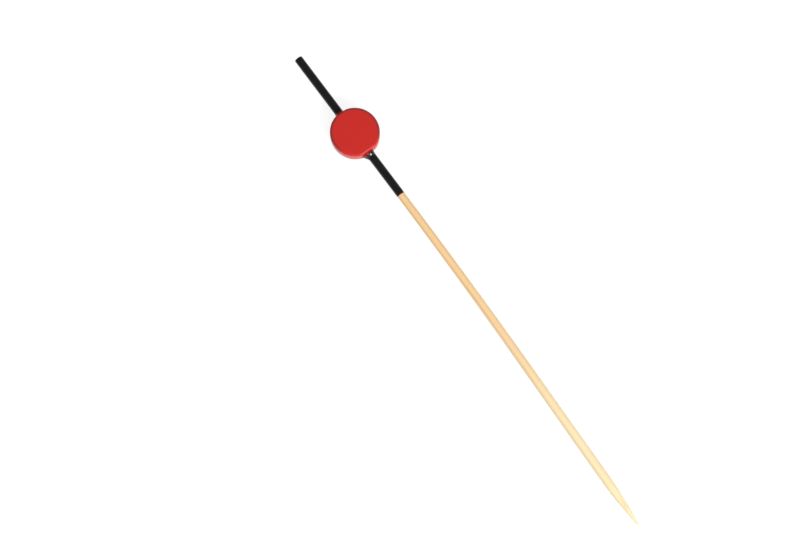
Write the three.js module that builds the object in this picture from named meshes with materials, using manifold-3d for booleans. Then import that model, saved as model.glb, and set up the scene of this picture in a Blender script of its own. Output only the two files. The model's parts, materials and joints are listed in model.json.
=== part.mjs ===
// Beaded bamboo skewer: a pointed bamboo stick with a black lacquered handle and a red disc bead glued on it.
// Millimetres, +Z up. The skewer lies on a table at z = 0 the way it does by itself: on the lower edge of its
// bead and on the shoulder of its point. The point is towards +X, and the origin is under the box's middle.
import * as THREE from "three";
import Module from "manifold-3d";
import { mergeVertices } from "three/addons/utils/BufferGeometryUtils.js";

const wasm = await Module();
wasm.setup();

// Stick: a round bamboo rod that is stouter towards its point, with the slight bend of split cane.
// Places along it are measured from the cut end of the handle.
const stickLength = 120;
const handleDiameter = 1.66;
const middleDiameter = 1.78;
const shoulderDiameter = 2;
const swellStart = 56;
const handleRound = 0.18;
const pointLength = 11;
const pointFullness = 1.6; // 1 is a straight cone, and more is a fuller point
const tipDiameter = 0.32;
const tipRound = 0.14;
const bendStart = 34;
const bendLength = 46;
const bendAngle = THREE.MathUtils.degToRad(1.8); // how far the bend turns the point sideways, towards -Y

// Black lacquer: the handle is dipped once, before the bead goes on, so the film runs on inside the bore.
const blackLength = 36.1;
const blackFilm = 0.05;
const blackFeather = 0.8; // the film thins out over this length at its lower edge
const blackEdge = 0.02;

// Bead: a disc cut from wood, bored through from edge to edge and flattened where the bore comes out.
const beadFromHandleEnd = 20;
const beadDiameter = 10.5;
const upperFlat = 5.12; // from the bead's centre, towards the handle's end
const lowerFlat = 4.98; // towards the point
const beadThickness = 4;
const beadRound = 0.5;
const redFilm = 0.06;

// Glue: a film between the stick and the bore, a fillet at each mouth, and a drop squeezed out at the lower one.
const glueFilm = 0.12;
const glueEdge = 0.03;
const upperReach = 0.2;
const upperHeight = 0.25;
const lowerReach = 0.52;
const lowerHeight = 1;
const filletFullness = 0.85; // 1 is a straight cone, less is hollow and more is full
const dropReach = 0.42; // what the drop adds to the lower fillet where it is largest
const dropHeight = 0.4;
const dropDirection = THREE.MathUtils.degToRad(5); // above the horizontal, on the stick's -Y side
const dropNarrowness = 6; // 1 spreads the drop over half the way round, and more draws it together
const scantShare = 0.7; // how much of its reach the lower fillet lacks on the stick's +Y side

// Bonded faces keep this hair of a gap.
const bondGap = 0.01;

// Facets: round the stick, along each of the bead's two arcs, and along a quarter round.
const stickSides = 24;
const beadArcSteps = 26;
const roundSteps = 5;

// Steps along the lacquered handle, the bare stick and the point.
const handleSteps = 8;
const bareSteps = 14;
const pointSteps = 9;

// Materials
const bamboo = new THREE.MeshStandardMaterial({ color: "#efcf98", roughness: 0.55, metalness: 0 });
const blackLacquer = new THREE.MeshStandardMaterial({ color: "#1e1c1f", roughness: 0.3, metalness: 0 });
const redLacquer = new THREE.MeshStandardMaterial({ color: "#cb322d", roughness: 0.28, metalness: 0 });
const plainWood = new THREE.MeshStandardMaterial({ color: "#d8b88a", roughness: 0.7, metalness: 0 });
const driedGlue = new THREE.MeshStandardMaterial({ color: "#3a1512", roughness: 0.12, metalness: 0 });

// Sizes that follow from the ones above
const coatInside = handleDiameter / 2 + bondGap;
const coatOutside = coatInside + blackFilm;
const glueInside = coatOutside + bondGap;
const glueOutside = glueInside + glueFilm;
const boreRadius = glueOutside + bondGap;
const pointStart = stickLength - pointLength;

// Each piece is made with the bead's centre at the origin, the handle along X and the point towards +X.

// A closed mesh with its shared corners merged, its empty faces dropped and the others facing outwards.
function closedMesh(geometry) {
  const bare = geometry.clone();
  bare.deleteAttribute("normal");
  bare.deleteAttribute("uv");
  const merged = mergeVertices(bare, 1e-5);
  const corner = [0, 1, 2].map(() => new THREE.Vector3());
  const faces = [];
  let volume = 0;
  for (let i = 0; i < merged.index.count; i += 3) {
    const face = [0, 1, 2].map((k) => merged.index.getX(i + k));
    if (new Set(face).size < 3) continue;
    face.forEach((vertex, k) => corner[k].fromBufferAttribute(merged.attributes.position, vertex));
    volume += corner[0].dot(corner[1].cross(corner[2]));
    faces.push(face);
  }
  if (volume < 0) faces.forEach((face) => face.reverse());
  return merged.setIndex(faces.flat());
}

function solidOf(geometry) {
  const vertProperties = Float32Array.from(geometry.attributes.position.array);
  const triVerts = Uint32Array.from(geometry.index.array);
  return new wasm.Manifold(new wasm.Mesh({ numProp: 3, vertProperties, triVerts }));
}

function geometryOf(solid) {
  const { numProp, vertProperties, triVerts } = solid.getMesh();
  const positions = [];
  for (let i = 0; i < vertProperties.length; i += numProp) {
    positions.push(vertProperties[i], vertProperties[i + 1], vertProperties[i + 2]);
  }
  const geometry = new THREE.BufferGeometry();
  geometry.setAttribute("position", new THREE.Float32BufferAttribute(positions, 3));
  return geometry.setIndex(Array.from(triVerts));
}

// Turns a profile of [x, radius] points about the X axis.
function turned(profile) {
  const points = profile.map(([x, radius]) => new THREE.Vector2(radius, x));
  return closedMesh(new THREE.LatheGeometry(points, stickSides).rotateZ(-Math.PI / 2));
}

// Points of an arc about [x, y], from one angle to another.
function arc(x, y, radius, from, to) {
  const points = [];
  for (let i = 0; i <= roundSteps; i++) {
    const angle = THREE.MathUtils.lerp(from, to, i / roundSteps);
    points.push([x + radius * Math.cos(angle), y + radius * Math.sin(angle)]);
  }
  return points;
}

// Evenly spaced values after one number, up to and with another.
function steps(from, to, count) {
  return Array.from({ length: count }, (_, i) => THREE.MathUtils.lerp(from, to, (i + 1) / count));
}

// Stick
function stickRadius(along) {
  if (along <= blackLength) return handleDiameter / 2;
  if (along <= swellStart) {
    const share = (along - blackLength) / (swellStart - blackLength);
    return THREE.MathUtils.lerp(handleDiameter, middleDiameter, share) / 2;
  }
  if (along <= pointStart) {
    const share = THREE.MathUtils.smoothstep(along, swellStart, pointStart);
    return THREE.MathUtils.lerp(middleDiameter, shoulderDiameter, share) / 2;
  }
  const share = (along - pointStart) / pointLength;
  return THREE.MathUtils.lerp(shoulderDiameter, tipDiameter, share ** pointFullness) / 2;
}

// The middle of the stick at a place along it: straight, a gentle arc, and straight again.
function stickCentre(along) {
  const arcRadius = bendLength / bendAngle;
  const turn = THREE.MathUtils.clamp((along - bendStart) / bendLength, 0, 1) * bendAngle;
  const before = Math.min(along, bendStart) - beadFromHandleEnd;
  const after = Math.max(along - bendStart - bendLength, 0);
  const x = before + arcRadius * Math.sin(turn) + after * Math.cos(turn);
  const y = -arcRadius * (1 - Math.cos(turn)) - after * Math.sin(turn);
  return { x, y, turn };
}

// Gives a straight piece the stick's bend.
function bent(geometry) {
  const position = geometry.attributes.position;
  for (let i = 0; i < position.count; i++) {
    const centre = stickCentre(position.getX(i) + beadFromHandleEnd);
    const side = position.getY(i);
    position.setX(i, centre.x + side * Math.sin(centre.turn));
    position.setY(i, centre.y + side * Math.cos(centre.turn));
  }
  return geometry;
}

function alongX(along) {
  return along - beadFromHandleEnd;
}

// The rounded cut end and the straight run of the handle, drawn out from the wood by a film.
function handleProfile(film) {
  const start = alongX(handleRound);
  const corner = arc(start, handleDiameter / 2 - handleRound, handleRound + film, Math.PI, Math.PI / 2);
  const run = steps(handleRound, blackLength - blackFeather, handleSteps);
  return [[corner[0][0], 0], ...corner, ...run.map((along) => [alongX(along), handleDiameter / 2 + film])];
}

function bambooShaft() {
  const tipEnd = stickLength - tipRound;
  const bare = [blackLength, ...steps(blackLength, pointStart, bareSteps)];
  const point = steps(pointStart, tipEnd, pointSteps);
  const sides = [...bare, ...point].map((along) => [alongX(along), stickRadius(along)]);
  const nose = stickRadius(tipEnd);
  const blunt = arc(0, 0, 1, Math.PI / 2, 0).slice(1).map(([x, y]) => [alongX(tipEnd) + tipRound * x, nose * y]);
  return bent(turned([...handleProfile(0), ...sides, ...blunt]));
}

function blackCoat() {
  const inside = handleProfile(bondGap);
  const outside = handleProfile(bondGap + blackFilm);
  const lowerEdge = [
    [alongX(blackLength), coatInside + blackEdge],
    [alongX(blackLength), coatInside],
  ];
  return bent(turned([...outside, ...lowerEdge, ...inside.reverse()]));
}

// Bead: the disc drawn in from its lacquered surface by an inset, with its edges rounded all round.
function disc(inset) {
  const radius = beadDiameter / 2 - inset;
  const round = beadRound - inset;
  const upperCorner = Math.acos((upperFlat - inset) / radius);
  const lowerCorner = Math.acos((lowerFlat - inset) / radius);
  const outline = new THREE.Shape();
  outline.absarc(0, 0, radius, lowerCorner, Math.PI - upperCorner);
  outline.absarc(0, 0, radius, Math.PI + upperCorner, 2 * Math.PI - lowerCorner);
  const depth = beadThickness - 2 * beadRound;
  const bevel = { bevelSize: round, bevelOffset: -round, bevelThickness: round, bevelSegments: roundSteps };
  const options = { depth, curveSegments: beadArcSteps / 2, ...bevel };
  return solidOf(closedMesh(new THREE.ExtrudeGeometry(outline, options).translate(0, 0, -depth / 2)));
}

function bore() {
  const reach = beadDiameter;
  return solidOf(turned([[-reach, 0], [-reach, boreRadius], [reach, boreRadius], [reach, 0]]));
}

function woodenDisc() {
  return geometryOf(disc(redFilm + bondGap).subtract(bore()));
}

function redCoat() {
  return geometryOf(disc(0).subtract(disc(redFilm)).subtract(bore()));
}

// A fillet of glue from the bead's wall to the stick, as [distance from the bead's centre, radius] points.
function fillet(wall, reach, height) {
  const curve = arc(0, 0, 1, 0, Math.PI / 2).map(([x, y]) => [
    wall + glueEdge + (height - glueEdge) * Math.abs(y) ** (2 / filletFullness),
    glueInside + glueEdge + (reach - glueEdge) * Math.abs(x) ** (2 / filletFullness),
  ]);
  return [[wall, glueOutside], [wall, glueInside + reach], ...curve, [wall + height, glueInside]];
}

// The glue cut open at one angle round the stick: a sleeve in the bore that spreads into a fillet at both mouths.
function glueSection(angle) {
  const lobe = Math.max(Math.cos(angle - dropDirection), 0) ** dropNarrowness;
  const scant = Math.max(-Math.cos(angle), 0) * scantShare;
  const reach = lowerReach * (1 - scant) + lobe * dropReach;
  const height = lowerHeight + lobe * dropHeight;
  const lower = fillet(lowerFlat + bondGap, reach, height);
  const upper = fillet(upperFlat + bondGap, upperReach, upperHeight);
  return [...lower, ...upper.map(([distance, radius]) => [-distance, radius]).reverse()];
}

function glueBond() {
  const sections = Array.from({ length: stickSides }, (_, i) => glueSection((2 * Math.PI * i) / stickSides));
  const around = sections[0].length;
  const positions = sections.flatMap((section, i) => {
    const angle = (2 * Math.PI * i) / stickSides;
    return section.flatMap(([x, radius]) => [x, -radius * Math.cos(angle), radius * Math.sin(angle)]);
  });
  const faces = [];
  for (let i = 0; i < stickSides; i++) {
    for (let k = 0; k < around; k++) {
      const here = i * around;
      const next = ((i + 1) % stickSides) * around;
      const after = (k + 1) % around;
      faces.push(here + k, next + k, next + after, here + k, next + after, here + after);
    }
  }
  const geometry = new THREE.BufferGeometry();
  geometry.setAttribute("position", new THREE.Float32BufferAttribute(positions, 3));
  return closedMesh(geometry.setIndex(faces));
}

// The skewer, in its own line
function piece(name, geometry, material) {
  const mesh = new THREE.Mesh(geometry, material);
  mesh.name = name;
  return mesh;
}

const skewer = new THREE.Group();
skewer.add(
  piece("bamboo_shaft", bambooShaft(), bamboo),
  piece("black_lacquer_coat", blackCoat(), blackLacquer),
  piece("wooden_disc", woodenDisc(), plainWood),
  piece("red_lacquer_coat", redCoat(), redLacquer),
  piece("glue_bond", glueBond(), driedGlue),
);

// Both ends of the bent stick come to lie on one line along X.
const handleEnd = stickCentre(0);
const tip = stickCentre(stickLength);
skewer.rotation.z = -Math.atan2(tip.y - handleEnd.y, tip.x - handleEnd.x);

// The skewer leans on the edge of its bead until some place beyond the bead touches the table.
const beadEdge = lowerFlat - beadRound;
const beyondBead = [...steps(blackLength, pointStart, bareSteps), ...steps(pointStart, stickLength, pointSteps)];
const leans = beyondBead.map((along) =>
  Math.atan2(beadThickness / 2 - stickRadius(along), stickCentre(along).x - beadEdge),
);
const atRest = new THREE.Group();
atRest.rotation.y = Math.min(...leans);
atRest.add(skewer);

const box = new THREE.Box3().setFromObject(atRest, true);
const middle = box.getCenter(new THREE.Vector3());
atRest.position.set(-middle.x, -middle.y, -box.min.z);

const part = new THREE.Group();
part.add(atRest);

export default part;
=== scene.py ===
import json
import math

import bpy
from bpy.props import FloatProperty, FloatVectorProperty, IntProperty, PointerProperty
from mathutils import Matrix, Vector, noise


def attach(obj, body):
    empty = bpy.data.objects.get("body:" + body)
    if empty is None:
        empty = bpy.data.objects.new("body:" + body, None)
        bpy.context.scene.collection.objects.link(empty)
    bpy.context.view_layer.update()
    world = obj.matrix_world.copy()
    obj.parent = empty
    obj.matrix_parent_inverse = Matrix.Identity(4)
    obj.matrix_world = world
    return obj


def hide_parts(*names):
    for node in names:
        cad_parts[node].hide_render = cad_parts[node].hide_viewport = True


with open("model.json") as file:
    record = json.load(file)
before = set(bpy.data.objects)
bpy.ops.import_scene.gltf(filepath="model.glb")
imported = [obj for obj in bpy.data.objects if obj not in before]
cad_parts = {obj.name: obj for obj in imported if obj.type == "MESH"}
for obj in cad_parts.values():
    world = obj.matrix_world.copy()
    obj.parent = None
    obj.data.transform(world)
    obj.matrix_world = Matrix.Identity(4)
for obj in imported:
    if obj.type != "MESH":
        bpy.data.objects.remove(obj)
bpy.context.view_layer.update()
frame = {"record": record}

bl_info = {
    "name": "Beaded Bamboo Skewer",
    "version": (1, 0, 0),
    "blender": (4, 5, 0),
    "location": "3D View > Sidebar > Skewer",
    "description": "Dresses a pointed bamboo pick with a lacquered handle and a red disc bead",
    "category": "Object",
}

MM = 0.001
FIBRE_TREE = "Fibre Grooves and Bend"
GROOVE_SEED = 3.0
FIBRE_SEED = 1.0
WHITE = (1, 1, 1)

# Attributes that the materials read: place in the straight stick, painted shade along the bead's rims, red in
# the glue that is partly seen through it and partly a painted reflection
GRAIN = "grain"
RIM_SHADE = "edge"
RED_SEEN_AND_REFLECTED = "over_red"


def length(name, description, default):
    """A size in metres, written here in millimetres."""
    return FloatProperty(name=name, description=description, default=default * MM, unit="LENGTH", precision=6)


def degrees(name, description, default):
    """An angle in radians, written here in degrees."""
    return FloatProperty(name=name, description=description, default=math.radians(default), subtype="ANGLE")


def number(name, description, default):
    """A plain number."""
    return FloatProperty(name=name, description=description, default=default)


def colour(name, description, default):
    """A linear colour."""
    return FloatVectorProperty(
        name=name, description=description, default=default, subtype="COLOR", size=3, min=0, max=1
    )


class StickSizes(bpy.types.PropertyGroup):
    """Places along the stick are measured from the cut end of its handle."""

    full_length: length("Length", "Bamboo stick from cut end to point", 120)
    handle_diameter: length("Handle Diameter", "Bare stick under the black lacquer", 1.66)
    middle_diameter: length("Middle Diameter", "Stick where it starts to swell", 1.71)
    shoulder_diameter: length("Shoulder Diameter", "Stick where its point starts", 1.93)
    swell_start: length("Swell Start", "Where the stick starts to thicken", 45)
    handle_round: length("Handle Rounding", "Softened edge of the cut end", 0.18)
    point_length: length("Point Length", "Tapered part of the stick", 11)
    point_fullness: number("Point Fullness", "1 is a straight cone", 1.6)
    tip_diameter: length("Tip Diameter", "Stick just before its blunt tip", 0.32)
    tip_round: length("Tip Rounding", "Length of the blunt tip", 0.14)
    bend_start: length("Bend Start", "Where the stick's slight bend starts", 34)
    bend_length: length("Bend Length", "How far the bend runs", 46)
    bend_angle: degrees("Bend Angle", "Turn of the point sideways", 1.8)
    groove_depth: length("Groove Depth", "Deepest groove between the bamboo's fibres", 0.012)
    groove_width: length("Groove Width", "Size of the grooves' pattern round the stick", 0.16)
    groove_length: length("Groove Length", "Size of the grooves' pattern along the stick", 16)
    sides: IntProperty(name="Sides", description="Faces round the stick", default=96)


class LacquerSizes(bpy.types.PropertyGroup):
    """The two lacquers and the gap that bonded faces keep."""

    black_length: length("Black Length", "How far the black lacquer reaches", 36.1)
    black_film: length("Black Film", "Thickness of the black lacquer", 0.05)
    black_feather: length("Black Feather", "Length over which the black film thins out", 0.8)
    black_edge: length("Black Edge", "Thickness at the black film's lower edge", 0.02)
    red_film: length("Red Film", "Thickness of the red lacquer", 0.06)
    bond_gap: length("Bond Gap", "Gap between bonded faces", 0.01)


class BeadSizes(bpy.types.PropertyGroup):
    """The disc bead and the glue that holds it."""

    from_handle_end: length("From Handle End", "Bead's centre along the stick", 20.0)
    diameter: length("Diameter", "Disc across its round sides", 10.5)
    upper_flat: length("Upper Flat", "Disc's centre to the flat at the bore's upper mouth", 5.12)
    lower_flat: length("Lower Flat", "Disc's centre to the flat at the bore's lower mouth", 4.98)
    rounding: length("Rounding", "Radius along the disc's edges", 0.5)
    flat_blend: length("Flat Blend", "How softly a flat runs into the round side", 0.05)
    crown: length("Crown", "How much lower the faces lie at their rim", 0.03)
    wobble: length("Wobble", "How far the hand-finished outline wanders inwards", 0.04)
    worn: length("Worn", "How much the disc lacks on the side that was sanded most", 0.11)
    worn_direction: degrees("Worn Direction", "Side that was sanded most", -68)
    glue_film: length("Glue Film", "Glue between the stick and the bore", 0.12)
    glue_edge: length("Glue Edge", "Thickness at a fillet's rims", 0.012)
    upper_reach: length("Upper Reach", "Upper fillet over the bead", 0.2)
    upper_height: length("Upper Height", "Upper fillet along the stick", 0.6)
    lower_reach: length("Lower Reach", "Lower fillet over the bead", 0.52)
    lower_height: length("Lower Height", "Lower fillet along the stick", 1.0)
    fullness: number("Fullness", "1 is a straight fillet, less is hollow", 0.85)
    top_reach: length("Top Reach", "Lower fillet over the bead, on top", 0.56)
    top_height: length("Top Height", "Lower fillet along the stick, on top", 1.05)
    top_fullness: number("Top Fullness", "Fullness of the lower fillet on top", 1.25)
    drop_reach: length("Drop Reach", "What the drop adds over the bead", 0.42)
    drop_height: length("Drop Height", "What the drop adds along the stick", 0.4)
    drop_direction: degrees("Drop Direction", "Drop above the horizontal", 5)
    drop_narrowness: number("Drop Narrowness", "More draws the drop together", 6)
    scant_share: number("Scant Share", "Part of the fillet missing on the drop's far side", 0.7)
    sides: IntProperty(name="Sides", description="Faces round the disc", default=176)


class SkewerColours(bpy.types.PropertyGroup):
    """Colours of the bamboo, the lacquers and the glue."""

    bamboo: colour("Bamboo", "Pale ground between the fibres", (0.97, 0.67, 0.34))
    bamboo_warm: colour("Warm Bamboo", "Peach stretches of the stick", (0.96, 0.61, 0.31))
    bamboo_pale: colour("Pale Bamboo", "Wood towards the point", (0.97, 0.83, 0.52))
    bamboo_streak: colour("Bamboo Streak", "Tan fibres", (0.70, 0.45, 0.19))
    bamboo_bundle: colour("Bamboo Bundle", "Dark lines of the larger bundles", (0.40, 0.22, 0.08))
    black: colour("Black Lacquer", "Lacquer on the handle", (0.0102, 0.0096, 0.0111))
    black_thin: colour("Thin Black Lacquer", "Brown fringe where the film thins out", (0.05, 0.014, 0.006))
    red: colour("Red Lacquer", "Lacquer on the bead", (0.635, 0.0235, 0.017))
    # Painted shade: darker red along the bead's rims, partly lacquer drawn together, left off on the side
    # that faces the lamps.
    red_rim_shade: colour("Red Rim Shade", "Lacquer drawn together along the bead's edges", (0.38, 0.03, 0.028))
    glue: colour("Glue", "Dried glue over the black lacquer", (0.012, 0.004, 0.004))
    # Partly the bead's red seen through the clear glue, partly a painted reflection of the bead in the glue.
    glue_red_and_reflection: colour("Glue Red And Reflection", "Dried glue where the bead's red shows through it", (0.3, 0.01, 0.012))
    core: colour("Bead Core", "Bare wood inside the bead", (0.69, 0.48, 0.25))


class StageSettings(bpy.types.PropertyGroup):
    """The camera, which stands where the photograph was taken from, the table and the room."""

    azimuth: degrees("Azimuth", "Camera round the skewer", 54.22)
    elevation: degrees("Elevation", "Camera above the table", 82)
    distance: length("Distance", "Camera from its aim", 416.5)
    aim_x: length("Aim X", "Point on the table in the middle of the picture", -11.93)
    aim_y: length("Aim Y", "Point on the table in the middle of the picture", -8.57)
    lens: number("Lens", "Focal length in millimetres", 90)
    table_grey: number("Table Grey", "Table as it throws light back", 0.6)
    table_shadow: number("Table Shadow", "Brightness of the table that a shadow takes away", 0.3)
    table_lift: number("Table Lift", "Brightness of the table that stays in a shadow", 0.82)
    room_light: number("Room Light", "Light from all round", 0.52)
    room_in_gloss: number("Room In Gloss", "Brightness of the room in a glossy surface", 0.12)


class Sheet:
    """A node tree with short ways to add and join its nodes."""

    def __init__(self, tree):
        self.tree = tree

    def node(self, kind, inputs=None, **settings):
        made = self.tree.nodes.new(kind)
        for key, value in settings.items():
            setattr(made, key, value)
        self.fill(made, inputs or {})
        return made

    def fill(self, node, inputs):
        """Links or sets sockets, found by number, name or identifier. A colour is three numbers."""
        for key, value in inputs.items():
            fitting = [s for s in node.inputs if s.enabled and key in (s.name, s.identifier)]
            socket = node.inputs[key] if isinstance(key, int) else fitting[0]
            if isinstance(value, bpy.types.NodeSocket):
                self.tree.links.new(value, socket)
            elif socket.type == "RGBA":
                socket.default_value = (*value, 1)
            else:
                socket.default_value = value

    def result(self, node):
        """The first output that the node has in use."""
        return next(socket for socket in node.outputs if socket.enabled)

    def math(self, operation, *values):
        return self.result(self.node("ShaderNodeMath", dict(enumerate(values)), operation=operation))

    def times(self, first, second):
        return self.math("MULTIPLY", first, second)

    def ramp(self, value, low, high, out_low=0.0, out_high=1.0, smooth=True):
        """Maps a value from one range to another, smoothly or evenly, and clamps it."""
        inputs = {"Value": value, "From Min": low, "From Max": high, "To Min": out_low, "To Max": out_high}
        kind = "SMOOTHSTEP" if smooth else "LINEAR"
        return self.result(self.node("ShaderNodeMapRange", inputs, interpolation_type=kind))

    def split(self, vector):
        return self.node("ShaderNodeSeparateXYZ", {0: vector}).outputs

    def join(self, x, y, z):
        return self.result(self.node("ShaderNodeCombineXYZ", {0: x, 1: y, 2: z}))

    def stretched(self, place, run, width):
        """A place along and across the stick, counted in runs along it and in widths across it."""
        along, side, height = place
        return self.join(
            self.math("DIVIDE", along, run),
            self.math("DIVIDE", side, width),
            self.math("DIVIDE", height, width),
        )

    def mix(self, factor, first, second):
        """Runs from the first colour to the second as the factor goes from 0 to 1."""
        inputs = {"Factor_Float": factor, "A_Color": first, "B_Color": second}
        return self.result(self.node("ShaderNodeMix", inputs, data_type="RGBA"))

    def noise(self, vector, scale, detail=2.0, roughness=0.5, seed=0.0):
        inputs = {"Vector": vector, "W": seed, "Scale": scale, "Detail": detail, "Roughness": roughness}
        return self.result(self.node("ShaderNodeTexNoise", inputs, noise_dimensions="4D"))

    def attribute(self, name, output):
        return self.node("ShaderNodeAttribute", attribute_name=name).outputs[output]

    def bump(self, height, strength, distance):
        inputs = {"Height": height, "Strength": strength, "Distance": distance}
        return self.result(self.node("ShaderNodeBump", inputs))

    def group(self, tree, **inputs):
        """A node group's outputs, with inputs such as patch_size for its socket Patch Size."""
        values = {key.replace("_", " ").title(): value for key, value in inputs.items()}
        return self.node("ShaderNodeGroup", values, node_tree=tree).outputs


def empty_sheet(owner):
    """The emptied node tree of a material or a world."""
    owner.use_nodes = True
    owner.node_tree.nodes.clear()
    return Sheet(owner.node_tree)


def new_group(name, kind, inputs, outputs):
    """A node group with its sockets, as its sheet, its input sockets by name and its output node."""
    tree = bpy.data.node_groups.new(name, kind)
    for socket_name, socket_type, default in inputs:
        socket = tree.interface.new_socket(socket_name, in_out="INPUT", socket_type=socket_type)
        if default is not None:
            socket.default_value = default
    for socket_name, socket_type in outputs:
        tree.interface.new_socket(socket_name, in_out="OUTPUT", socket_type=socket_type)
    sheet = Sheet(tree)
    given = sheet.node("NodeGroupInput").outputs
    return sheet, {s.name: s for s in given if s.name}, sheet.node("NodeGroupOutput")


# Placing


def mount(name):
    """The place and the direction of one of the frame's mounts."""
    found = next(entry for entry in frame["record"]["mounts"] if entry["name"] == name)
    return Vector(found["pos_m"]), Vector(found["axis"]).normalized()


def skewer_matrix():
    """From the skewer's own line to the table.

    In that line the bead's centre is the origin, the point lies towards +X and the bead's top towards +Z.
    """
    top, up = mount("bead_top")
    underside = mount("bead_underside")[0]
    backward = mount("handle_end")[1]
    side = up.cross(-backward).normalized()
    turn = Matrix((side.cross(up), side, up)).transposed().to_4x4()
    return Matrix.Translation((top + underside) / 2) @ turn


def bead_thickness():
    return (mount("bead_top")[0] - mount("bead_underside")[0]).length


# Meshes


def smooth(value, low, high):
    """Runs smoothly from 0 at the low value to 1 at the high one."""
    share = min(max((value - low) / (high - low), 0.0), 1.0)
    return share * share * (3 - 2 * share)


def soft_minimum(first, second, blend):
    """The smaller of two lengths, with a soft change from one to the other over about the blend's length."""
    far_apart = 20 * blend
    if second >= first + far_apart:
        return first
    return second - blend * math.log(math.exp((second - first) / blend) + 1)


def steps(start, end, count):
    """Evenly spaced values after the start, up to and with the end."""
    return [start + (end - start) * (i + 1) / count for i in range(count)]


def arc(x, y, radius, start, end, count):
    """Points on an arc round x and y, with both its ends."""
    angles = [start, *steps(start, end, count)]
    return [(x + radius * math.cos(angle), y + radius * math.sin(angle)) for angle in angles]


def turned(name, profile_at, sides, axis="X", ring=False):
    """A closed mesh from a profile of (place on the axis, radius) points, which may change round the axis.

    A profile starts and ends on the axis, or closes on itself where ring is true.
    """
    profiles = [profile_at(2 * math.pi * i / sides) for i in range(sides)]
    count = len(profiles[0])
    inner = range(count) if ring else range(1, count - 1)
    vertices = []
    for i, profile in enumerate(profiles):
        angle = 2 * math.pi * i / sides
        for k in inner:
            along, radius = profile[k]
            u, v = radius * math.cos(angle), radius * math.sin(angle)
            vertices.append((along, u, v) if axis == "X" else (u, v, along))
    row = len(inner)
    faces = []
    for i in range(sides):
        here, there = i * row, (i + 1) % sides * row
        for k in range(row if ring else row - 1):
            after = (k + 1) % row
            faces.append((here + k, there + k, there + after, here + after))
    if not ring:
        for end, k in ((0, 0), (count - 1, row - 1)):
            place = profiles[0][end][0]
            vertices.append((place, 0, 0) if axis == "X" else (0, 0, place))
            pole = len(vertices) - 1
            for i in range(sides):
                here, there = i * row + k, (i + 1) % sides * row + k
                faces.append((pole, there, here) if k == 0 else (pole, here, there))
    return mesh_object(name, vertices, faces)


def mesh_object(name, vertices, faces):
    """A smooth object in the scene, with its faces pointing outwards."""
    mesh = bpy.data.meshes.new(name)
    mesh.from_pydata(vertices, [], faces)
    mesh.update()
    if enclosed_volume(mesh) < 0:
        mesh.flip_normals()
    mesh.shade_smooth()
    piece = bpy.data.objects.new(name, mesh)
    bpy.context.scene.collection.objects.link(piece)
    return piece


def enclosed_volume(mesh):
    """The volume inside a closed mesh, which is below 0 if its faces point inwards."""
    mesh.calc_loop_triangles()
    total = 0.0
    for triangle in mesh.loop_triangles:
        a, b, c = (mesh.vertices[i].co for i in triangle.vertices)
        total += a.dot(b.cross(c))
    return total / 6


def baked(piece):
    """Turns the result of a piece's modifiers into its plain mesh."""
    graph = bpy.context.evaluated_depsgraph_get()
    result = piece.evaluated_get(graph)
    mesh = bpy.data.meshes.new_from_object(result, preserve_all_data_layers=True, depsgraph=graph)
    if not mesh.polygons:
        raise RuntimeError(f"{piece.name} came out empty")
    mesh.name = piece.name
    old = piece.data
    piece.modifiers.clear()
    piece.data = mesh
    bpy.data.meshes.remove(old)
    return piece


def cut(piece, *tools):
    """Cuts the tools' shapes out of a piece and removes them."""
    for tool in tools:
        modifier = piece.modifiers.new("Cut", "BOOLEAN")
        modifier.operation = "DIFFERENCE"
        modifier.solver = "EXACT"
        modifier.object = tool
    baked(piece)
    for tool in tools:
        mesh = tool.data
        bpy.data.objects.remove(tool)
        bpy.data.meshes.remove(mesh)
    piece.data.shade_smooth()
    return piece


def store(piece, name, value_at):
    """Keeps a number for each vertex, worked out from its place in the skewer's own line."""
    attribute = piece.data.attributes.new(name, "FLOAT", "POINT")
    attribute.data.foreach_set("value", [value_at(vertex.co) for vertex in piece.data.vertices])


def finish_piece(piece, material, node):
    """Gives a piece its material, puts it on the table, hangs it under the root body and hides the CAD node
    that it stands for.
    """
    piece.data.materials.clear()
    piece.data.materials.append(material)
    piece.data.transform(skewer_matrix())
    piece.data.update()
    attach(piece, "root")
    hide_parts(node)


# Bend and fibre grooves


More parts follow.
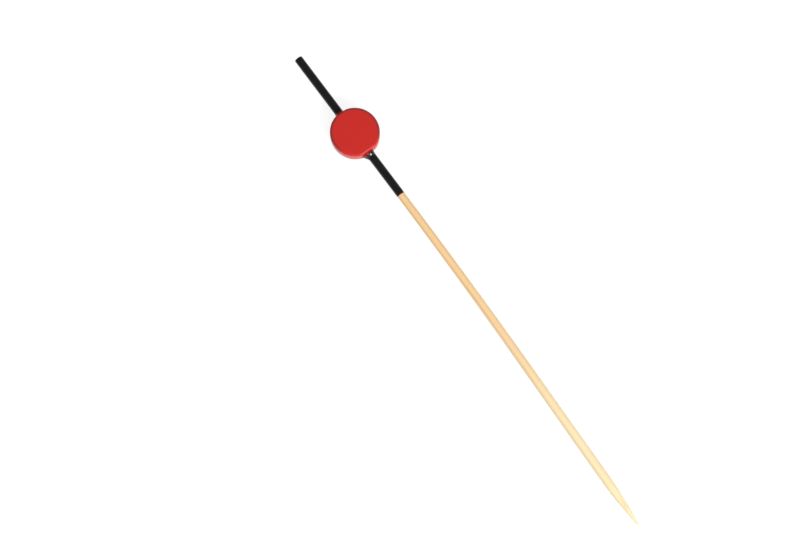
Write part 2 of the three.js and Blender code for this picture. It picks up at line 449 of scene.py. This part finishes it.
def fibre_tree():
    """Geometry nodes that cut fibre grooves into a straight turned piece and give it the stick's bend."""
    sizes = (
        "Bead From End", "Bend Start", "Bend Length", "Bend Angle", "Groove Depth", "Groove Width",
        "Groove Length", "Seed",
    )
    inputs = [("Geometry", "NodeSocketGeometry", None), *((size, "NodeSocketFloat", 0.0) for size in sizes)]
    inputs.append(("Material", "NodeSocketMaterial", None))
    outputs = [("Geometry", "NodeSocketGeometry")]
    sheet, given, output = new_group(FIBRE_TREE, "GeometryNodeTree", inputs, outputs)

    straight, side, height = sheet.split(sheet.node("GeometryNodeInputPosition").outputs[0])
    along = sheet.math("ADD", straight, given["Bead From End"])
    stored = sheet.node(
        "GeometryNodeStoreNamedAttribute",
        {"Geometry": given["Geometry"], "Name": GRAIN, "Value": sheet.join(along, side, height)},
        data_type="FLOAT_VECTOR",
        domain="POINT",
    )

    least_radius, deepest_share = 0.001 * MM, 0.1
    pattern = sheet.stretched((along, side, height), given["Groove Length"], given["Groove Width"])
    groove = sheet.ramp(sheet.noise(pattern, scale=1.0, seed=given["Seed"]), low=0.42, high=0.78)
    square = sheet.math("ADD", sheet.math("POWER", side, 2.0), sheet.math("POWER", height, 2.0))
    radius = sheet.math("MAXIMUM", sheet.math("SQRT", square), least_radius)
    wanted = sheet.times(groove, given["Groove Depth"])
    depth = sheet.math("MINIMUM", wanted, sheet.times(radius, deepest_share))
    shrink = sheet.math("SUBTRACT", 1.0, sheet.math("DIVIDE", depth, radius))
    side, height = sheet.times(side, shrink), sheet.times(height, shrink)

    bend, start, run = given["Bend Angle"], given["Bend Start"], given["Bend Length"]
    turn = sheet.times(sheet.ramp(along, start, sheet.math("ADD", start, run), smooth=False), bend)
    arc_radius = sheet.math("DIVIDE", run, bend)
    before = sheet.math("SUBTRACT", sheet.math("MINIMUM", along, start), given["Bead From End"])
    after = sheet.math("MAXIMUM", sheet.math("SUBTRACT", sheet.math("SUBTRACT", along, start), run), 0.0)
    sine, cosine = sheet.math("SINE", turn), sheet.math("COSINE", turn)
    x = sheet.math("ADD", before, sheet.times(sine, arc_radius))
    x = sheet.math("ADD", x, sheet.times(after, cosine))
    x = sheet.math("ADD", x, sheet.times(side, sine))
    y = sheet.times(arc_radius, sheet.math("SUBTRACT", cosine, 1.0))
    y = sheet.math("SUBTRACT", y, sheet.times(after, sine))
    y = sheet.math("ADD", y, sheet.times(side, cosine))
    place = sheet.join(x, y, height)

    moved = sheet.node("GeometryNodeSetPosition", {"Geometry": stored.outputs[0], "Position": place})
    whole = sheet.node("GeometryNodeRealizeInstances", {"Geometry": moved.outputs[0]})
    dress = {"Geometry": whole.outputs[0], "Material": given["Material"]}
    sheet.fill(output, {"Geometry": sheet.node("GeometryNodeSetMaterial", dress).outputs[0]})
    return sheet.tree


def grooved_and_bent(piece, material, depth):
    """Runs the fibre tree on a straight piece and keeps the result as its mesh."""
    stick, bead = bpy.context.scene.stick_sizes, bpy.context.scene.bead_sizes
    tree = bpy.data.node_groups.get(FIBRE_TREE) or fibre_tree()
    values = {
        "Bead From End": bead.from_handle_end,
        "Bend Start": stick.bend_start,
        "Bend Length": stick.bend_length,
        "Bend Angle": stick.bend_angle,
        "Groove Depth": depth,
        "Groove Width": stick.groove_width,
        "Groove Length": stick.groove_length,
        "Seed": GROOVE_SEED,
        "Material": material,
    }
    modifier = piece.modifiers.new(FIBRE_TREE, "NODES")
    modifier.node_group = tree
    for item in tree.interface.items_tree:
        if item.in_out == "INPUT" and item.name in values:
            modifier[item.identifier] = values[item.name]
    return baked(piece)


# Finishes


def fibre_group():
    """Bamboo seen through its grain coordinates: fine streaks, dark bundles and slow changes of tone."""
    name = "Bamboo Fibres"
    if name in bpy.data.node_groups:
        return bpy.data.node_groups[name]
    inputs = [
        ("Streak Width", "NodeSocketFloat", 0.1 * MM),
        ("Bundle Spacing", "NodeSocketFloat", 0.42 * MM),
        ("Run", "NodeSocketFloat", 22 * MM),
        ("Seed", "NodeSocketFloat", 0.0),
    ]
    outputs = [(out, "NodeSocketFloat") for out in ("Streaks", "Bundles", "Tone", "Fine")]
    sheet, given, output = new_group(name, "ShaderNodeTree", inputs, outputs)
    place = sheet.split(sheet.attribute(GRAIN, "Vector"))
    width, run, seed = given["Streak Width"], given["Run"], given["Seed"]
    fine_run, fine_width, tone_width, bundle_run = 0.12, 0.3, 0.05, 3.0

    streaks = sheet.noise(sheet.stretched(place, run, width), scale=1.0, detail=3.0, roughness=0.6, seed=seed)
    fine_place = sheet.stretched(place, sheet.times(run, fine_run), sheet.times(width, fine_width))
    fine = sheet.noise(fine_place, scale=1.0, seed=seed)
    tone_place = sheet.stretched(place, run, sheet.times(run, tone_width))
    tone_seed = sheet.math("ADD", seed, 7.0)
    tone = sheet.noise(tone_place, scale=1.0, detail=1.0, seed=tone_seed)
    bundle_place = sheet.stretched(place, sheet.times(run, bundle_run), given["Bundle Spacing"])
    cells = sheet.node("ShaderNodeTexVoronoi", {"Vector": bundle_place, "Scale": 1.0, "Randomness": 0.8})
    bundles = sheet.ramp(cells.outputs["Distance"], low=0.14, high=0.34, out_low=1.0, out_high=0.0)
    broken = sheet.ramp(streaks, low=0.35, high=0.6)
    sheet.fill(output, {
        "Streaks": sheet.ramp(streaks, low=0.36, high=0.68),
        "Bundles": sheet.times(bundles, broken),
        "Tone": sheet.ramp(tone, low=0.35, high=0.65),
        "Fine": fine,
    })
    return sheet.tree


def lacquer_group():
    """Lacquer: slow unevenness, fine dust and a shallow waviness, from the object's coordinates."""
    name = "Lacquer Surface"
    if name in bpy.data.node_groups:
        return bpy.data.node_groups[name]
    inputs = [
        ("Patch Size", "NodeSocketFloat", 2.2 * MM),
        ("Dust Size", "NodeSocketFloat", 0.12 * MM),
        ("Seed", "NodeSocketFloat", 0.0),
    ]
    outputs = [(out, "NodeSocketFloat") for out in ("Patches", "Dust", "Waves")]
    sheet, given, output = new_group(name, "ShaderNodeTree", inputs, outputs)
    place = sheet.node("ShaderNodeTexCoord").outputs["Object"]
    patch_size, seed, waves_in_patch = given["Patch Size"], given["Seed"], 2.4

    patch_scale = sheet.math("DIVIDE", 1.0, patch_size)
    patches = sheet.noise(place, patch_scale, detail=3.0, roughness=0.6, seed=seed)
    dust_scale = sheet.math("DIVIDE", 1.0, given["Dust Size"])
    dust = sheet.noise(place, dust_scale, detail=1.0, seed=seed)
    wave_scale = sheet.math("DIVIDE", waves_in_patch, patch_size)
    wave_seed = sheet.math("ADD", seed, 5.0)
    waves = sheet.noise(place, wave_scale, detail=1.0, roughness=0.4, seed=wave_seed)
    sheet.fill(output, {
        "Patches": sheet.ramp(patches, low=0.3, high=0.7),
        "Dust": sheet.ramp(dust, low=0.62, high=0.74),
        "Waves": waves,
    })
    return sheet.tree


def new_material(name):
    """A material with only its shader and its output, as the material, its sheet and its shader."""
    material = bpy.data.materials.new(name)
    sheet = empty_sheet(material)
    shader = sheet.node("ShaderNodeBsdfPrincipled")
    sheet.node("ShaderNodeOutputMaterial", {"Surface": shader.outputs[0]})
    return material, sheet, shader


def scaled(shade, factor):
    """A darker or lighter version of a colour."""
    return [factor * part for part in shade]


def bamboo_material(colours):
    """Satin bamboo with tan and dark fibres, paler towards its point."""
    material, sheet, shader = new_material("Bamboo")
    fibres = sheet.group(fibre_group(), seed=FIBRE_SEED)
    along = sheet.split(sheet.attribute(GRAIN, "Vector"))[0]
    streak_share, bundle_share, fine_share = 0.3, 0.55, 0.4
    pale = sheet.ramp(along, low=50 * MM, high=112 * MM, out_high=0.9)
    toned = sheet.mix(fibres["Tone"], colours.bamboo, colours.bamboo_warm)
    ground = sheet.mix(pale, toned, colours.bamboo_pale)
    streaked = sheet.mix(sheet.times(fibres["Streaks"], streak_share), ground, colours.bamboo_streak)
    lined = sheet.mix(sheet.times(fibres["Bundles"], bundle_share), streaked, colours.bamboo_bundle)
    relief = sheet.math("ADD", sheet.times(fibres["Fine"], fine_share), fibres["Streaks"])
    sheet.fill(shader, {
        "Base Color": lined,
        "Roughness": sheet.ramp(fibres["Fine"], low=0.3, high=0.7, out_low=0.42, out_high=0.62),
        "Normal": sheet.bump(relief, strength=0.5, distance=0.01 * MM),
        "Specular IOR Level": 0.35,
    })
    return material


def black_material(colours, lacquer):
    """Semi-gloss black film with the fibres just showing, and brown where it thins out."""
    material, sheet, shader = new_material("Black Lacquer")
    fibres = sheet.group(fibre_group(), seed=FIBRE_SEED)
    surface = sheet.group(lacquer_group(), patch_size=1.6 * MM, seed=2.0)
    grain = sheet.attribute(GRAIN, "Vector")
    wander_size, wander_reach = 0.5 * MM, 0.25 * MM
    patch_share, dust_share, fibre_share, wave_share = 0.5, 0.3, 0.7, 0.5
    wander = sheet.noise(grain, scale=1 / wander_size, seed=4.0)
    from_edge = sheet.math("SUBTRACT", lacquer.black_length, sheet.split(grain)[0])
    shift = sheet.times(sheet.math("SUBTRACT", wander, 0.5), wander_reach)
    uneven = sheet.math("ADD", from_edge, shift)
    thin = sheet.ramp(uneven, low=0.05 * MM, high=0.5 * MM, out_low=1.0, out_high=0.0)
    patched = sheet.times(surface["Patches"], patch_share)
    mottled = sheet.mix(patched, colours.black, scaled(colours.black, factor=1.7))
    specked = sheet.mix(sheet.times(surface["Dust"], dust_share), mottled, scaled(colours.black, factor=4))
    relief = sheet.math(
        "ADD", sheet.times(fibres["Streaks"], fibre_share), sheet.times(surface["Waves"], wave_share)
    )
    sheet.fill(shader, {
        "Base Color": sheet.mix(thin, specked, colours.black_thin),
        "Roughness": sheet.ramp(surface["Patches"], low=0, high=1, out_low=0.26, out_high=0.36),
        "Normal": sheet.bump(relief, strength=0.35, distance=0.008 * MM),
        "Specular IOR Level": 0.25,
    })
    return material


def red_material(colours):
    """Red lacquer with slightly mottled faces, and rims darkened partly as lacquer drawn together and partly
    as painted shade.
    """
    material, sheet, shader = new_material("Red Lacquer")
    surface = sheet.group(lacquer_group(), patch_size=2.4 * MM, seed=9.0)
    patch_share, dust_share = 0.35, 0.15
    patched = sheet.times(surface["Patches"], patch_share)
    mottled = sheet.mix(patched, colours.red, scaled(colours.red, factor=0.86))
    specked = sheet.mix(sheet.times(surface["Dust"], dust_share), mottled, scaled(colours.red, factor=1.25))
    sheet.fill(shader, {
        # Painted shade: the rims darken except on the side that faces the lamps.
        "Base Color": sheet.mix(sheet.attribute(RIM_SHADE, "Fac"), specked, colours.red_rim_shade),
        "Roughness": sheet.ramp(surface["Patches"], low=0, high=1, out_low=0.3, out_high=0.38),
        "Normal": sheet.bump(surface["Waves"], strength=0.12, distance=0.01 * MM),
        "Specular IOR Level": 0.3,
    })
    return material


def glue_material(colours):
    """Glossy dried glue, dark over the black lacquer and red towards the bead, the red partly seen through
    the glue and partly a painted reflection of the bead.
    """
    material, sheet, shader = new_material("Dried Glue")
    surface = sheet.group(lacquer_group(), patch_size=0.5 * MM, seed=12.0)
    cloud = sheet.ramp(surface["Patches"], low=0, high=1, out_low=-0.12, out_high=0.12)
    over = sheet.ramp(sheet.math("ADD", sheet.attribute(RED_SEEN_AND_REFLECTED, "Fac"), cloud), low=0, high=1)
    sheet.fill(shader, {
        "Base Color": sheet.mix(over, colours.glue, colours.glue_red_and_reflection),
        "Roughness": sheet.ramp(surface["Patches"], low=0, high=1, out_low=0.06, out_high=0.12),
        "Normal": sheet.bump(surface["Waves"], strength=0.08, distance=0.02 * MM),
        "Specular IOR Level": 0.65,
    })
    return material


def core_material(colours):
    """Plain turned wood with its rings drawn out along the table's Y."""
    material, sheet, shader = new_material("Bead Core Wood")
    place = sheet.node("ShaderNodeTexCoord").outputs["Object"]
    across_scale, along_scale = 5000, 600
    scale = (across_scale, along_scale, across_scale)
    stretch = sheet.node("ShaderNodeMapping", {"Vector": place, "Scale": scale})
    rings = sheet.noise(stretch.outputs[0], scale=1.0, detail=3.0, roughness=0.6, seed=6.0)
    sheet.fill(shader, {
        "Base Color": sheet.mix(rings, colours.core, scaled(colours.core, factor=0.7)),
        "Roughness": 0.7,
        "Normal": sheet.bump(rings, strength=0.4, distance=0.02 * MM),
    })
    return material


# Pieces


def stick_radius(along, stick, lacquer):
    """The stick's radius at a place along it, before its tip is blunted."""
    point_start = stick.full_length - stick.point_length
    if along <= lacquer.black_length:
        diameter = stick.handle_diameter
    elif along <= stick.swell_start:
        share = (along - lacquer.black_length) / (stick.swell_start - lacquer.black_length)
        diameter = stick.handle_diameter + (stick.middle_diameter - stick.handle_diameter) * share
    elif along <= point_start:
        share = smooth(along, stick.swell_start, point_start)
        diameter = stick.middle_diameter + (stick.shoulder_diameter - stick.middle_diameter) * share
    else:
        share = ((along - point_start) / stick.point_length) ** stick.point_fullness
        diameter = stick.shoulder_diameter + (stick.tip_diameter - stick.shoulder_diameter) * share
    return diameter / 2


def handle_profile(stick, film, end, count):
    """The rounded cut end and the straight run of the handle, drawn out from the wood by a film."""
    zero = bpy.context.scene.bead_sizes.from_handle_end
    radius = stick.handle_diameter / 2
    middle = (stick.handle_round - zero, radius - stick.handle_round)
    corner = arc(*middle, stick.handle_round + film, math.pi, math.pi / 2, count=10)
    run = [(along - zero, radius + film) for along in steps(stick.handle_round, end, count)]
    flat = [(corner[0][0], corner[0][1] * share) for share in (0, 0.5)]
    return [*flat, *corner, *run]


class SKEWER_OT_make_shaft(bpy.types.Operator):
    """Make the bamboo stick with its point, bend and fibre grooves"""

    bl_idname = "skewer.make_shaft"
    bl_label = "Bamboo Shaft"

    def execute(self, context):
        scene = context.scene
        stick, lacquer, zero = scene.stick_sizes, scene.lacquer_sizes, scene.bead_sizes.from_handle_end
        point_start = stick.full_length - stick.point_length
        tip_end = stick.full_length - stick.tip_round
        middle = steps(lacquer.black_length, point_start, count=250)
        point = steps(point_start, tip_end, count=70)
        nose = stick_radius(tip_end, stick, lacquer)
        blunt = arc(0, 0, 1, math.pi / 2, 0, count=8)[1:-1]
        profile = [
            *handle_profile(stick, film=0, end=lacquer.black_length, count=110),
            *((along - zero, stick_radius(along, stick, lacquer)) for along in [*middle, *point]),
            *((tip_end - zero + stick.tip_round * x, nose * y) for x, y in blunt),
            (stick.full_length - zero, 0),
        ]
        material = bamboo_material(scene.skewer_colours)
        piece = turned("bamboo_stick", lambda angle: profile, stick.sides)
        grooved_and_bent(piece, material, stick.groove_depth)
        finish_piece(piece, material, "bamboo_shaft")
        return {"FINISHED"}


class SKEWER_OT_make_black_coat(bpy.types.Operator):
    """Make the black lacquer film on the handle"""

    bl_idname = "skewer.make_black_coat"
    bl_label = "Black Lacquer Coat"

    def execute(self, context):
        scene = context.scene
        stick, lacquer, zero = scene.stick_sizes, scene.lacquer_sizes, scene.bead_sizes.from_handle_end
        radius = stick.handle_diameter / 2
        inside = lacquer.bond_gap
        outside = inside + lacquer.black_film
        feather = lacquer.black_length - lacquer.black_feather
        thinner = lacquer.black_edge - lacquer.black_film
        edge_steps, groove_share = 8, 0.3
        edge_places = steps(feather, lacquer.black_length, edge_steps)
        edge = [
            (along - zero, radius + outside + thinner * share ** 2)
            for along, share in zip(edge_places, steps(0, 1, edge_steps))
        ]
        profile = [
            *handle_profile(stick, outside, feather, count=120),
            *edge,
            (lacquer.black_length - zero, radius + inside),
            *reversed(handle_profile(stick, inside, feather, count=30)),
        ]
        material = black_material(scene.skewer_colours, lacquer)
        piece = turned("handle_lacquer", lambda angle: profile, stick.sides)
        grooved_and_bent(piece, material, groove_share * stick.groove_depth)
        finish_piece(piece, material, "black_lacquer_coat")
        return {"FINISHED"}


def disc_outline(angle, bead, inset):
    """The disc's radius in a direction: round, with a flat at each mouth of the bore, and a little uneven."""
    least_cosine = 0.2
    wander_scale, wander_place = 1.3, Vector((4.1, 2.7, 0))
    radius = bead.diameter / 2 - inset
    reach = bead.lower_flat if math.cos(angle) > 0 else bead.upper_flat
    flat = (reach - inset) / max(abs(math.cos(angle)), least_cosine)
    worn = bead.worn * max(math.cos(angle - bead.worn_direction), 0) ** 2
    direction = Vector((math.cos(angle), math.sin(angle), 0))
    wander = 0.5 + 0.5 * noise.noise(direction * wander_scale + wander_place)
    return soft_minimum(radius, flat, bead.flat_blend) - worn - bead.wobble * wander


def disc_profile(angle, bead, inset):
    """Half a section of the disc from the middle of one face to the middle of the other."""
    half = bead_thickness() / 2 - inset
    rounding = bead.rounding - inset
    radius = disc_outline(angle, bead, inset)
    rim = radius - rounding
    face = [(half - bead.crown * share ** 4, rim * share) for share in [0, *steps(0, 1, count=22)]]
    low = half - bead.crown - rounding
    edge = arc(0, 0, rounding, math.pi / 2, 0, count=10)[1:]
    upper = [*face, *((low + y, rim + x) for x, y in edge)]
    wall = [(height, radius) for height in steps(low, -low, count=14)[:-1]]
    return [*upper, *wall, *((-height, r) for height, r in reversed(upper))]


def glue_radii(stick, lacquer, bead):
    """The inside and the outside of the glue between the black film and the bore."""
    inner = stick.handle_diameter / 2 + lacquer.black_film + 2 * lacquer.bond_gap
    return inner, inner + bead.glue_film


def painted_rim_shade(place, bead):
    """How much painted shade darkens the red: most along both rims, none on the side that faces the lamps,
    less at the upper mouth.
    """
    lit_direction, mouth_share = math.radians(-15), 0.6
    angle = math.atan2(place.y, place.x)
    outwards = math.hypot(place.x, place.y) - disc_outline(angle, bead, 0)
    from_face = bead_thickness() / 2 - abs(place.z)
    outer = smooth((outwards + bead.rounding) / bead.rounding, low=-0.35, high=0.15)
    above = 1 - smooth(from_face / bead.rounding, low=0.9, high=2.0)
    # The painted shade is left off on the side that faces the lamps.
    lit_side = smooth(math.cos(angle - lit_direction), low=0.34, high=0.71)
    mouth = mouth_share * smooth(-math.cos(angle), low=0.955, high=0.985)
    return outer * above * (1 - lit_side) * (1 - mouth)


class SKEWER_OT_make_bead(bpy.types.Operator):
    """Make the wooden disc and the red lacquer round it"""

    bl_idname = "skewer.make_bead"
    bl_label = "Disc Bead"

    def execute(self, context):
        scene = context.scene
        stick, lacquer, bead = scene.stick_sizes, scene.lacquer_sizes, scene.bead_sizes
        bore_radius = glue_radii(stick, lacquer, bead)[1] + lacquer.bond_gap
        reach = bead.diameter
        bore_profile = [(-reach, 0), (-reach, bore_radius), (reach, bore_radius), (reach, 0)]

        def disc(name, inset):
            return turned(name, lambda angle: disc_profile(angle, bead, inset), bead.sides, axis="Z")

        def bore():
            return turned("bore", lambda angle: bore_profile, stick.sides)

        coat = cut(disc("bead_lacquer", 0), disc("inside", lacquer.red_film), bore())
        core = cut(disc("bead_core", lacquer.red_film + lacquer.bond_gap), bore())
        # Painted shade along the bead's rims, kept for each vertex.
        store(coat, RIM_SHADE, lambda place: painted_rim_shade(place, bead))
        finish_piece(coat, red_material(scene.skewer_colours), "red_lacquer_coat")
        finish_piece(core, core_material(scene.skewer_colours), "wooden_disc")
        return {"FINISHED"}


def fillet(flat, inner, outer, reach, height, fullness, bead, gap):
    """Points from the bead's wall to the stick, each its distance from the bead's centre and its radius."""
    wall, thin = flat + gap, bead.glue_edge
    power = 2 / fullness
    quarter = [(abs(math.cos(t)), math.sin(t)) for t in [0, *steps(0, math.pi / 2, count=24)]]
    curve = [
        (wall + thin + (height - thin) * y ** power, inner + thin + (reach - thin) * x ** power)
        for x, y in quarter
    ]
    return [(wall, outer), (wall, inner + reach), *curve, (wall + height, inner)]


def glue_profile(angle, radii, bead, gap):
    """A section of the glue at an angle: it has a drop, is scant on the far side and full on top."""
    unevenness, wander_scale, wander_height = 0.12, 1.7, 0.4
    lobe = max(math.cos(math.pi - angle - bead.drop_direction), 0) ** bead.drop_narrowness
    scant = max(math.cos(angle), 0) * bead.scant_share
    top = max(math.sin(angle), 0) ** 2
    direction = Vector((math.cos(angle), math.sin(angle), wander_height))
    uneven = 1 + unevenness * (1 - top) * noise.noise(direction * wander_scale)
    side_reach = (bead.lower_reach * (1 - scant) + lobe * bead.drop_reach) * uneven
    side_height = bead.lower_height + lobe * bead.drop_height
    reach = side_reach + (bead.top_reach - side_reach) * top
    height = side_height + (bead.top_height - side_height) * top
    fullness = bead.fullness + (bead.top_fullness - bead.fullness) * top
    upper_reach, upper_height = bead.upper_reach * uneven, bead.upper_height * uneven
    lower = fillet(bead.lower_flat, *radii, reach, height, fullness, bead, gap)
    upper = fillet(bead.upper_flat, *radii, upper_reach, upper_height, bead.fullness, bead, gap)
    return [*lower, *((-distance, radius) for distance, radius in reversed(upper))]


def red_and_reflection_in_glue(place, inner):
    """How much red the glue gets, partly the bead seen through it and partly a painted reflection of it:
    little over the stick, more over the bead.
    """
    in_lower_fillet = place.x > 0
    # Painted reflection: the upper fillet keeps some red even over the black stick.
    shown, least = (0.3 * MM, 0.0) if in_lower_fillet else (0.05 * MM, 0.18)
    from_stick = math.hypot(place.y, place.z) - inner
    return max(smooth(from_stick, low=0.5 * shown, high=2.5 * shown), least)


class SKEWER_OT_make_glue(bpy.types.Operator):
    """Make the glue in the bore with its fillets and the drop at the lower mouth"""

    bl_idname = "skewer.make_glue"
    bl_label = "Glue Bond"

    def execute(self, context):
        scene = context.scene
        stick, lacquer, bead = scene.stick_sizes, scene.lacquer_sizes, scene.bead_sizes
        radii = glue_radii(stick, lacquer, bead)

        def profile_at(angle):
            return glue_profile(angle, radii, bead, lacquer.bond_gap)

        piece = turned("glue", profile_at, stick.sides, ring=True)
        store(piece, RED_SEEN_AND_REFLECTED, lambda place: red_and_reflection_in_glue(place, radii[0]))
        finish_piece(piece, glue_material(scene.skewer_colours), "glue_bond")
        return {"FINISHED"}


# Stage


def seen_by(sheet, *rays):
    """1 for these kinds of rays and 0 for the others, such as light that falls on things."""
    path = sheet.node("ShaderNodeLightPath").outputs
    seen = path[rays[0]]
    for ray in rays[1:]:
        seen = sheet.math("MAXIMUM", seen, path[ray])
    return seen


def floor_material(setting):
    """A table that looks white and keeps a shadow, but lights what lies on it as a grey one would."""
    material = bpy.data.materials.new("White Table")
    sheet = empty_sheet(material)
    lit = sheet.node("ShaderNodeBsdfDiffuse", {"Color": [setting.table_grey] * 3})
    shaded = sheet.node("ShaderNodeBsdfDiffuse", {"Color": [setting.table_shadow] * 3})
    lift = sheet.node("ShaderNodeEmission", {"Strength": setting.table_lift})
    white = sheet.node("ShaderNodeAddShader", {0: shaded.outputs[0], 1: lift.outputs[0]})
    seen = seen_by(sheet, "Is Camera Ray", "Is Transmission Ray", "Is Glossy Ray")
    shown = sheet.node("ShaderNodeMixShader", {0: seen, 1: lit.outputs[0], 2: white.outputs[0]})
    sheet.node("ShaderNodeOutputMaterial", {"Surface": shown.outputs[0]})
    return material


def add_world(scene, setting):
    """A room that lights softly, looks white and stays dim in glossy surfaces."""
    scene.world = bpy.data.worlds.new("Soft Studio")
    sheet = empty_sheet(scene.world)
    in_gloss = seen_by(sheet, "Is Glossy Ray")
    level = sheet.ramp(in_gloss, low=0, high=1, out_low=setting.room_light, out_high=setting.room_in_gloss)
    light = sheet.node("ShaderNodeBackground", {"Color": WHITE, "Strength": level})
    white = sheet.node("ShaderNodeBackground", {"Color": WHITE, "Strength": 1.0})
    seen = seen_by(sheet, "Is Camera Ray", "Is Transmission Ray")
    shown = sheet.node("ShaderNodeMixShader", {0: seen, 1: light.outputs[0], 2: white.outputs[0]})
    sheet.node("ShaderNodeOutputWorld", {"Surface": shown.outputs[0]})


def hold(name, data, aim, towards, distance):
    """An object that looks at its aim from a direction."""
    holder = bpy.data.objects.new(name, data)
    holder.location = aim + towards * distance
    holder.rotation_euler = (-towards).to_track_quat("-Z", "Y").to_euler()
    bpy.context.scene.collection.objects.link(holder)
    return holder


def add_lamp(name, aim, towards, distance, width, height, share):
    """A soft lamp that gives its share of full brightness to a surface that faces it."""
    lamp = bpy.data.lights.new(name, "AREA")
    lamp.shape = "RECTANGLE"
    lamp.size = width
    lamp.size_y = height
    lamp.energy = share * (math.pi * distance) ** 2
    hold(name, lamp, aim, towards, distance)


class SKEWER_OT_make_stage(bpy.types.Operator):
    """Make the white table, the room, the soft lamps and the camera"""

    bl_idname = "skewer.make_stage"
    bl_label = "Stage"

    def execute(self, context):
        scene = context.scene
        setting = scene.stage_settings
        half_side = 1.5
        corners = [(x * half_side, y * half_side, 0) for x, y in ((-1, -1), (1, -1), (1, 1), (-1, 1))]
        mesh = bpy.data.meshes.new("table")
        mesh.from_pydata(corners, [], [(0, 1, 2, 3)])
        floor = bpy.data.objects.new("table", mesh)
        floor.data.materials.append(floor_material(setting))
        scene.collection.objects.link(floor)
        add_world(scene, setting)

        aim = Vector((setting.aim_x, setting.aim_y, 0))
        flat = Vector((math.sin(setting.azimuth), -math.cos(setting.azimuth), 0))
        back = flat * math.cos(setting.elevation) + Vector((0, 0, math.sin(setting.elevation)))
        right = Vector((math.cos(setting.azimuth), math.sin(setting.azimuth), 0))
        camera = bpy.data.cameras.new("camera")
        camera.lens = setting.lens
        camera.sensor_width = 36
        camera.clip_start = 0.01
        scene.camera = hold("camera", camera, aim, back, setting.distance)

        def towards(clock, height):
            """A direction by degrees clockwise from the picture's right and degrees above the table."""
            level = right * math.cos(math.radians(clock)) + flat * math.sin(math.radians(clock))
            return level * math.cos(math.radians(height)) + Vector((0, 0, math.sin(math.radians(height))))

        key, fill = towards(clock=47, height=38), towards(clock=86, height=34)
        add_lamp("key", aim, key, distance=0.6, width=0.3, height=0.18, share=0.69)
        add_lamp("fill", aim, fill, distance=0.6, width=0.5, height=0.4, share=0.24)

        scene.view_settings.view_transform = "Standard"
        return {"FINISHED"}


class SKEWER_PT_sidebar(bpy.types.Panel):
    """Sizes, colours and steps of the skewer"""

    bl_idname = "SKEWER_PT_sidebar"
    bl_label = "Beaded Skewer"
    bl_space_type = "VIEW_3D"
    bl_region_type = "UI"
    bl_category = "Skewer"

    def draw(self, context):
        for operator in operators:
            self.layout.operator(operator.bl_idname)
        for name in groups:
            box = self.layout.box()
            box.label(text=name.replace("_", " ").title())
            settings = getattr(context.scene, name)
            for key in settings.__annotations__:
                box.prop(settings, key)


groups = {
    "stick_sizes": StickSizes,
    "lacquer_sizes": LacquerSizes,
    "bead_sizes": BeadSizes,
    "skewer_colours": SkewerColours,
    "stage_settings": StageSettings,
}
operators = (
    SKEWER_OT_make_shaft,
    SKEWER_OT_make_black_coat,
    SKEWER_OT_make_bead,
    SKEWER_OT_make_glue,
    SKEWER_OT_make_stage,
)
classes = (*groups.values(), *operators, SKEWER_PT_sidebar)


def register():
    for item in classes:
        bpy.utils.register_class(item)
    for name, group in groups.items():
        setattr(bpy.types.Scene, name, PointerProperty(type=group))


def unregister():
    for name in groups:
        delattr(bpy.types.Scene, name)
    for item in reversed(classes):
        bpy.utils.unregister_class(item)


def main():
    register()
    bpy.ops.skewer.make_shaft()
    bpy.ops.skewer.make_black_coat()
    bpy.ops.skewer.make_bead()
    bpy.ops.skewer.make_glue()
    bpy.ops.skewer.make_stage()
    bpy.context.view_layer.update()


if __name__ == "__main__":
    main()
